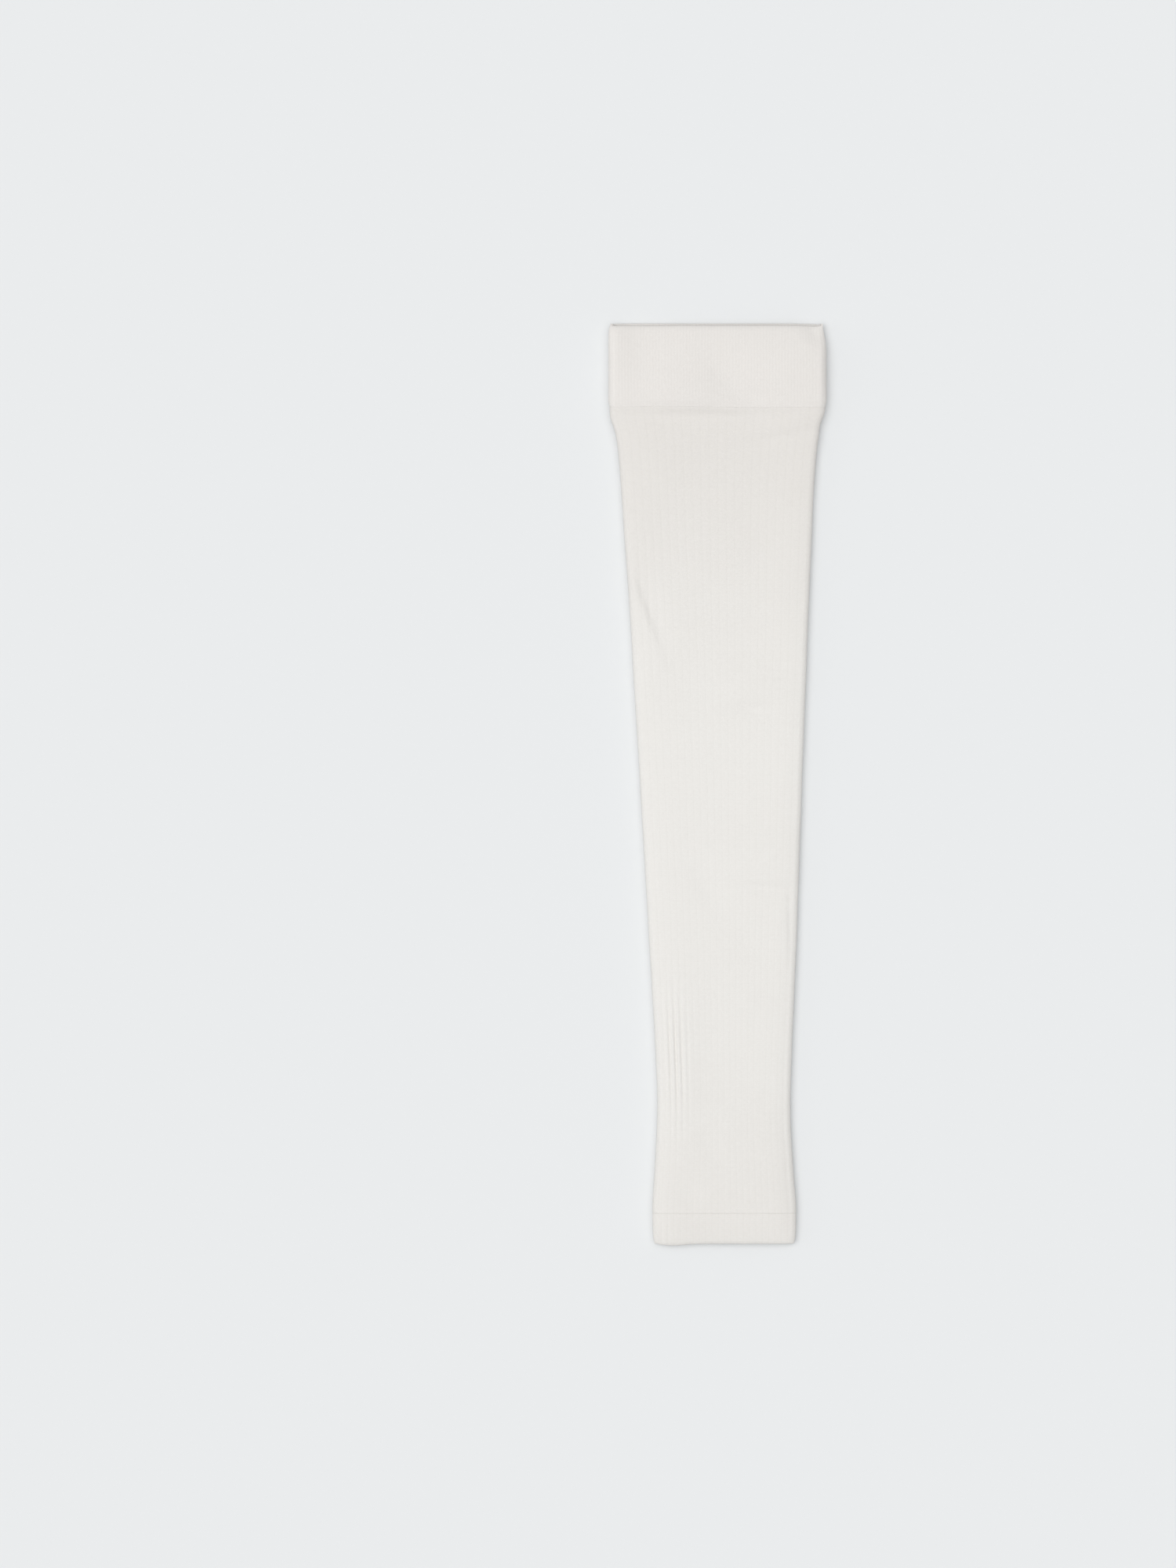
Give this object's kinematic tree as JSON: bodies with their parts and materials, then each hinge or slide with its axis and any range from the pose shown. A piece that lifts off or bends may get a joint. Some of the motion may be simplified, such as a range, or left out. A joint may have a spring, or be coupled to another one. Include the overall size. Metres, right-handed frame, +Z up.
{
  "type": "arm sleeve",
  "caption": "Knitted arm sleeve lying flat: a long tapered ribbed tube, open at both ends, with a turned double cuff at the upper arm and a turned hem at the wrist.",
  "frame": {"origin": "on the plane that the sleeve lies on, under the middle of its box", "axes": "+Y along the sleeve from the wrist to the cuff, +X across it, +Z up from the face it lies on"},
  "size_m": [0.102, 0.43, 0.0107],
  "materials": {
    "cuff_knit": "matt off-white fine-ribbed double knit",
    "body_knit": "matt off-white ribbed knit",
    "hem_knit": "matt off-white ribbed knit, turned"
  },
  "bodies": {
    "root": {"upper_cuff": "cuff_knit", "sleeve_body": "body_knit", "wrist_hem": "hem_knit"}
  },
  "joints": []
}
